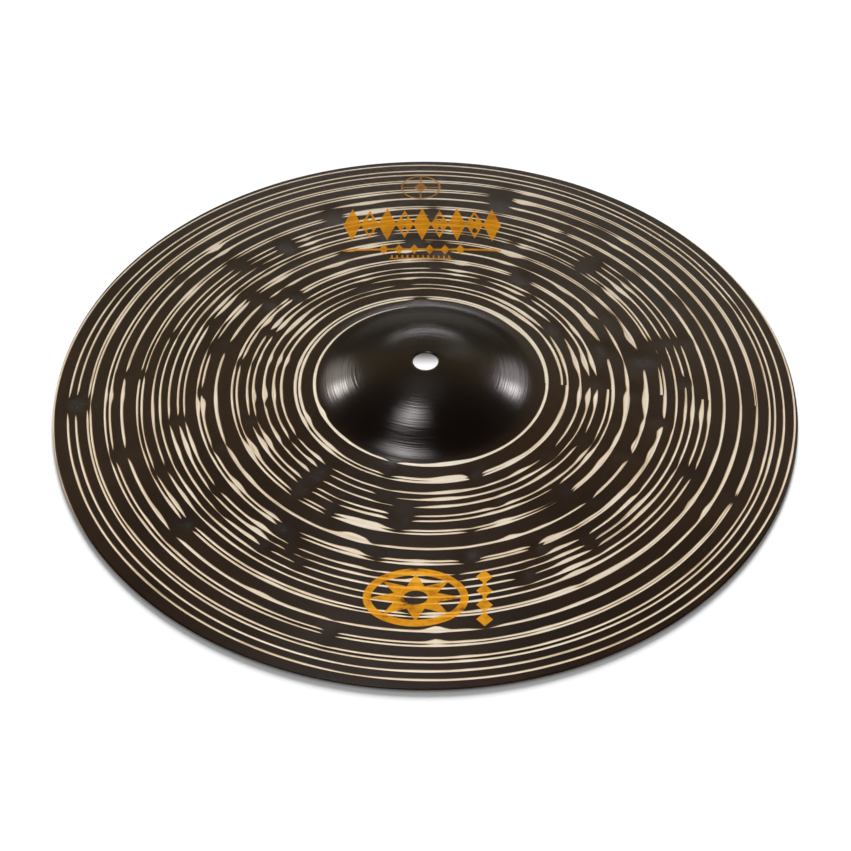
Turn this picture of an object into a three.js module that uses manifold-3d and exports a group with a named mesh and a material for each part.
// Crash cymbal, 16 inch, dark-finished cast bronze.
//
// One round bronze sheet with a raised bell, a bow and a thin edge, lying on
// its rim, plus the ornament printed in ink on its top side. Millimetres, +Z up.
// The origin is on the spin axis, in the plane the rim rests on. The front of
// the cymbal is towards -Y, the rear towards +Y.

import * as THREE from 'three';
import { mergeVertices } from 'three/addons/utils/BufferGeometryUtils.js';
import Module from 'manifold-3d';

// ---------------------------------------------------------------- dimensions

const DIAMETER = 406.4;          // 16 inch across the rim
const RIM_R = DIAMETER / 2;
const RIM_LAND = 0.9;            // width of the flat the rim rests on
const HOLE_R = 6.9;              // centre hole for the stand's rod and sleeve
const SEAT_R = 9.6;              // flat land round the hole, under the felts

const EDGE_T = 0.75;             // sheet thickness at the rim
const BOW_T = 0.95;              // sheet thickness where the bow starts to fall
const BELL_T = 1.10;             // sheet thickness at the crown

const BOW_RISE = 20.6;           // rise of the top side from rim to bell foot
const BOW_START_R = 60;          // radius where the bow starts to fall
const BOW_POWER = 1.18;          // fall of the bow: 1 is a cone, 2 a parabola

const BELL_R = 58.2;             // radius of the bell at the foot of its dome
const BELL_RISE = 17.2;          // rise of the dome above the bow
const DOME_R = (BELL_R ** 2 + BELL_RISE ** 2) / (2 * BELL_RISE); // the dome's sphere
const DOME_LIMIT_R = 0.95 * DOME_R; // the sphere is followed no further out

const HOLLOW_SOFTNESS = 1.7;     // softness of the hollow between bell and bow
const HOLLOW_START_R = 41.2;     // the flank begins to flare into the hollow here
const HOLLOW_FULL_R = 58.5;      // the hollow has its full softness from here out

const SLOPE_STEP = 0.1;          // reach to each side when the slope is taken
const SEGMENTS = 80;             // facets round the axis

// Radii of the section's corners on the top side, from the hole to the rim.
const TOP_RADII = [
  HOLE_R, SEAT_R, 17, 25, 33, 41, 48, 53, 56.5, BOW_START_R,
  64, 70, 80, 93, 108, 124, 140, 156, 172, 188, RIM_R,
];
// The underside has the same corners and one more, at the rim land.
const UNDER_RADII = [...TOP_RADII.slice(0, -1), RIM_R - RIM_LAND, RIM_R];

const INK_START_R = 80;          // inner radius of the layer the ink is cut from
const INK_GAP = 0.03;            // clearance under the ink layer
const INK_T = 0.08;              // thickness of the ink layer

const PRISM_BOTTOM = -10;        // the upright prisms pass right through the sheet
const PRISM_HEIGHT = 60;

// Ink ornament in plan: x and y are the centre of each mark, width is along X,
// height along Y, and semiX and semiY are the half axes of an oval.
const EMBLEM = {
  x: -4.8, y: -147.4, semiX: 27.6, semiY: 17.9, sides: 56,
  band: 4.2,                               // width of the oval ring
  rays: 8, waist: 0.5,                     // star points; inner size over outer
  starOverlapX: 1.3, starOverlapY: 1.0,    // reach of the star into the ring
  eyeSemiX: 6.4, eyeSemiY: 4.2, eyeSides: 28,
};
const SIDE_MARK = {
  x: 31.1, y: -147.1, width: 8.8, height: 35.0, count: 4,
  spine: 1.9,                              // width of the bar linking the lozenges
  fill: 0.96,                              // lozenge height over their pitch
};
const RIBBON = {
  x: -2.2, y: 138.4, width: 89.0, height: 32.0, count: 9,
  spine: 3.3,                              // height of the bar linking the lozenges
  fill: 1.02,                              // lozenge width over their pitch
  shortRatio: 0.86,                        // height of every second lozenge
  windowWidth: 3.2, windowHeight: 7.6,
  windowOffset: 6.3,                       // window centre from the middle line
};
const RULE = {
  x: -2.2, y: 113.6, width: 88.6, line: 1.7,
  count: 6, pitch: 8.6, lozengeWidth: 5.2, lozengeHeight: 9.6,
};
const SCALE = {
  x: -3.0, y: 106.0, width: 35.0, height: 3.2, line: 0.7,
  count: 12, tickWidth: 0.9,
  endInset: 0.5,                           // end tick's centre from the line's end
  tickTrim: 0.1,                           // ticks stop this short of the line's foot
};
const STAMP = {
  x: -3.1, y: 175.6, semiX: 11.4, semiY: 12.0, sides: 40, line: 1.1,
  eyeWidth: 8.4, eyeHeight: 9.6,
};

// Small turns of the inner ovals' corners, in radians.
const EMBLEM_INNER_TURN = 0.02;
const EMBLEM_EYE_TURN = 0.03;
const STAMP_INNER_TURN = 0.03;

// ------------------------------------------------------------- sheet profile

// Height of the dome's sphere above the bow, flattened into a seat at the hole.
function domeHeight(radius) {
  const reach = Math.min(Math.max(radius, SEAT_R), DOME_LIMIT_R);
  return Math.sqrt(DOME_R * DOME_R - reach * reach) - (DOME_R - BELL_RISE);
}

function hollowSoftness(radius) {
  const along = (radius - HOLLOW_START_R) / (HOLLOW_FULL_R - HOLLOW_START_R);
  const part = Math.min(1, Math.max(0, along));
  return HOLLOW_SOFTNESS * part * part * (3 - 2 * part);
}

// Height of the top side above the rim plane. A soft maximum of the dome and
// zero is added to the bow, which leaves a hollow at the bell's foot.
function topHeight(radius) {
  const along = Math.max(0, (radius - BOW_START_R) / (RIM_R - BOW_START_R));
  const bow = EDGE_T + BOW_RISE * (1 - Math.pow(along, BOW_POWER));
  const dome = domeHeight(radius);
  const softness = hollowSoftness(radius);
  return bow + 0.5 * (dome + Math.sqrt(dome * dome + 4 * softness * softness));
}

function thickness(radius) {
  if (radius < BOW_START_R) return BELL_T + (BOW_T - BELL_T) * (radius / BOW_START_R);
  return BOW_T + (EDGE_T - BOW_T) * ((radius - BOW_START_R) / (RIM_R - BOW_START_R));
}

// Height of the underside: the sheet's thickness is measured square to it.
function underHeight(radius) {
  if (radius >= RIM_R - RIM_LAND) return 0;
  if (radius <= SEAT_R) return topHeight(radius) - BELL_T;
  const rise = topHeight(radius + SLOPE_STEP) - topHeight(radius - SLOPE_STEP);
  const slope = rise / (2 * SLOPE_STEP);
  return topHeight(radius) - thickness(radius) * Math.sqrt(1 + slope * slope);
}

// ------------------------------------------------------------ solid handling

const wasm = await Module();
wasm.setup();

function solidOf(geometry) {
  // Normals and UVs would keep vertices at the same place from merging.
  geometry.deleteAttribute('normal');
  geometry.deleteAttribute('uv');
  const merged = mergeVertices(geometry, 1e-4);
  return new wasm.Manifold(new wasm.Mesh({
    numProp: 3,
    vertProperties: merged.attributes.position.array,
    triVerts: new Uint32Array(merged.index.array),
  }));
}

function geometryOf(solid) {
  const mesh = solid.getMesh();
  const geometry = new THREE.BufferGeometry();
  const positions = new Float32Array(mesh.vertProperties);
  geometry.setAttribute('position', new THREE.BufferAttribute(positions, 3));
  geometry.setIndex(new THREE.BufferAttribute(new Uint32Array(mesh.triVerts), 1));
  geometry.computeVertexNormals();
  return geometry;
}

// A ring of revolution about +Z between two lines of [radius, height] points,
// both given from the inside out. Its section runs anticlockwise, out along
// the lower line and back along the upper, so that the faces point outwards.
function revolve(lower, upper) {
  const section = [...lower, ...upper.slice().reverse(), lower[0]];
  const points = section.map(([radius, z]) => new THREE.Vector2(radius, z));
  const geometry = new THREE.LatheGeometry(points, SEGMENTS);
  geometry.rotateX(Math.PI / 2);
  return solidOf(geometry);
}

// An upright prism over a plan outline.
function prism(outline) {
  const shape = new THREE.Shape(outline.map(([x, y]) => new THREE.Vector2(x, y)));
  const geometry = new THREE.ExtrudeGeometry(shape, {
    depth: PRISM_HEIGHT,
    bevelEnabled: false,
  });
  geometry.translate(0, 0, PRISM_BOTTOM);
  return solidOf(geometry);
}

function joined(outlines) {
  return outlines.map(prism).reduce((sum, next) => sum.add(next));
}

// ------------------------------------------------------- the sheet and its ink

function cymbalSolid() {
  return revolve(
    UNDER_RADII.map((radius) => [radius, underHeight(radius)]),
    TOP_RADII.map((radius) => [radius, topHeight(radius)]),
  );
}

// The ink follows the facets of the top side at a constant small clearance.
function inkLayer() {
  const radii = TOP_RADII.filter((radius) => radius >= INK_START_R);
  const raised = (lift) => radii.map((radius) => [radius, topHeight(radius) + lift]);
  return revolve(raised(INK_GAP), raised(INK_GAP + INK_T));
}

// ------------------------------------------------------------- plan outlines

function ellipse(x, y, semiX, semiY, sides, turn = 0) {
  return Array.from({ length: sides }, (_, i) => {
    const angle = turn + (2 * Math.PI * i) / sides;
    return [x + semiX * Math.cos(angle), y + semiY * Math.sin(angle)];
  });
}

function star(x, y, semiX, semiY, rays, waist) {
  return Array.from({ length: 2 * rays }, (_, i) => {
    const angle = (Math.PI * i) / rays;
    const size = i % 2 === 0 ? 1 : waist;
    return [x + semiX * size * Math.cos(angle), y + semiY * size * Math.sin(angle)];
  });
}

function lozenge(x, y, width, height) {
  return [[x + width / 2, y], [x, y + height / 2], [x - width / 2, y], [x, y - height / 2]];
}

function bar(x, y, width, height) {
  return [
    [x + width / 2, y + height / 2], [x - width / 2, y + height / 2],
    [x - width / 2, y - height / 2], [x + width / 2, y - height / 2],
  ];
}

// ------------------------------------------------------------ ornament in plan

// Front emblem: an oval ring round an eight-rayed star with an open oval eye.
function emblemPlan() {
  const { x, y, semiX, semiY, sides, band, rays, waist } = EMBLEM;
  const innerX = semiX - band;
  const innerY = semiY - band;
  const starX = innerX + EMBLEM.starOverlapX;
  const starY = innerY + EMBLEM.starOverlapY;
  const eye = ellipse(x, y, EMBLEM.eyeSemiX, EMBLEM.eyeSemiY, EMBLEM.eyeSides, EMBLEM_EYE_TURN);
  return prism(ellipse(x, y, semiX, semiY, sides))
    .subtract(prism(ellipse(x, y, innerX, innerY, sides, EMBLEM_INNER_TURN)))
    .add(prism(star(x, y, starX, starY, rays, waist)))
    .subtract(prism(eye));
}

// Side mark: a column of linked lozenges beside the emblem.
function sideMarkPlan() {
  const { x, y, width, height, count, spine, fill } = SIDE_MARK;
  const pitch = height / count;
  const parts = [bar(x, y, spine, height - pitch)];
  for (let i = 0; i < count; i += 1) {
    parts.push(lozenge(x, y - height / 2 + pitch * (i + 0.5), width, pitch * fill));
  }
  return joined(parts);
}

// Rear ribbon: a row of tall lozenges, tip to tip. Every second one is shorter
// and has two windows, one each side of the middle line.
function ribbonPlan() {
  const { x, y, width, height, count, spine, fill, shortRatio } = RIBBON;
  const { windowWidth, windowHeight, windowOffset } = RIBBON;
  const pitch = width / count;
  const parts = [bar(x, y, width - pitch, spine)];
  const windows = [];
  for (let i = 0; i < count; i += 1) {
    const centreX = x - width / 2 + pitch * (i + 0.5);
    const short = i % 2 === 1;
    parts.push(lozenge(centreX, y, pitch * fill, short ? height * shortRatio : height));
    if (short) {
      windows.push(lozenge(centreX, y + windowOffset, windowWidth, windowHeight));
      windows.push(lozenge(centreX, y - windowOffset, windowWidth, windowHeight));
    }
  }
  return windows.reduce((plan, outline) => plan.subtract(prism(outline)), joined(parts));
}

// Rear rule: a thin line with a row of small lozenges in its middle.
function rulePlan() {
  const { x, y, width, line, count, pitch, lozengeWidth, lozengeHeight } = RULE;
  const parts = [bar(x, y, width, line)];
  for (let i = 0; i < count; i += 1) {
    const centreX = x + pitch * (i - (count - 1) / 2);
    parts.push(lozenge(centreX, y, lozengeWidth, lozengeHeight));
  }
  return joined(parts);
}

// Rear scale: a fine line with short ticks rising from it towards +Y.
function scalePlan() {
  const { x, y, width, height, line, count, tickWidth, endInset, tickTrim } = SCALE;
  const parts = [bar(x, y - height / 2 + line / 2, width, line)];
  for (let i = 0; i < count; i += 1) {
    const centreX = x - width / 2 + endInset + ((width - 2 * endInset) * i) / (count - 1);
    parts.push(bar(centreX, y + tickTrim / 2, tickWidth, height - tickTrim));
  }
  return joined(parts);
}

// Rear stamp: a fine-lined oval crossed by two fine lines, with a solid
// lozenge in the middle.
function stampPlan() {
  const { x, y, semiX, semiY, sides, line, eyeWidth, eyeHeight } = STAMP;
  return prism(ellipse(x, y, semiX, semiY, sides))
    .subtract(prism(ellipse(x, y, semiX - line, semiY - line, sides, STAMP_INNER_TURN)))
    .add(prism(bar(x, y, 2 * semiX - line, line)))
    .add(prism(bar(x, y, line, 2 * semiY - line)))
    .add(prism(lozenge(x, y, eyeWidth, eyeHeight)));
}

// ----------------------------------------------------------------- the group

const bronze = new THREE.MeshStandardMaterial({ color: 0x2b211b, roughness: 0.34, metalness: 0.9 });
const ink = new THREE.MeshStandardMaterial({ color: 0xd08a1c, roughness: 0.5, metalness: 0.1 });
const paleInk = new THREE.MeshStandardMaterial({ color: 0xa47a3c, roughness: 0.5, metalness: 0.1 });

const group = new THREE.Group();

function addPiece(name, solid, material) {
  const mesh = new THREE.Mesh(geometryOf(solid), material);
  mesh.name = name;
  group.add(mesh);
}

addPiece('cymbal', cymbalSolid(), bronze);

const layer = inkLayer();
const prints = [
  ['front_emblem_print', emblemPlan(), ink],
  ['front_side_mark_print', sideMarkPlan(), ink],
  ['rear_ribbon_print', ribbonPlan(), ink],
  ['rear_rule_print', rulePlan(), ink],
  ['rear_scale_print', scalePlan(), ink],
  ['rear_stamp_print', stampPlan(), paleInk],
];
for (const [name, plan, material] of prints) {
  addPiece(name, layer.intersect(plan), material);
}

export default group;
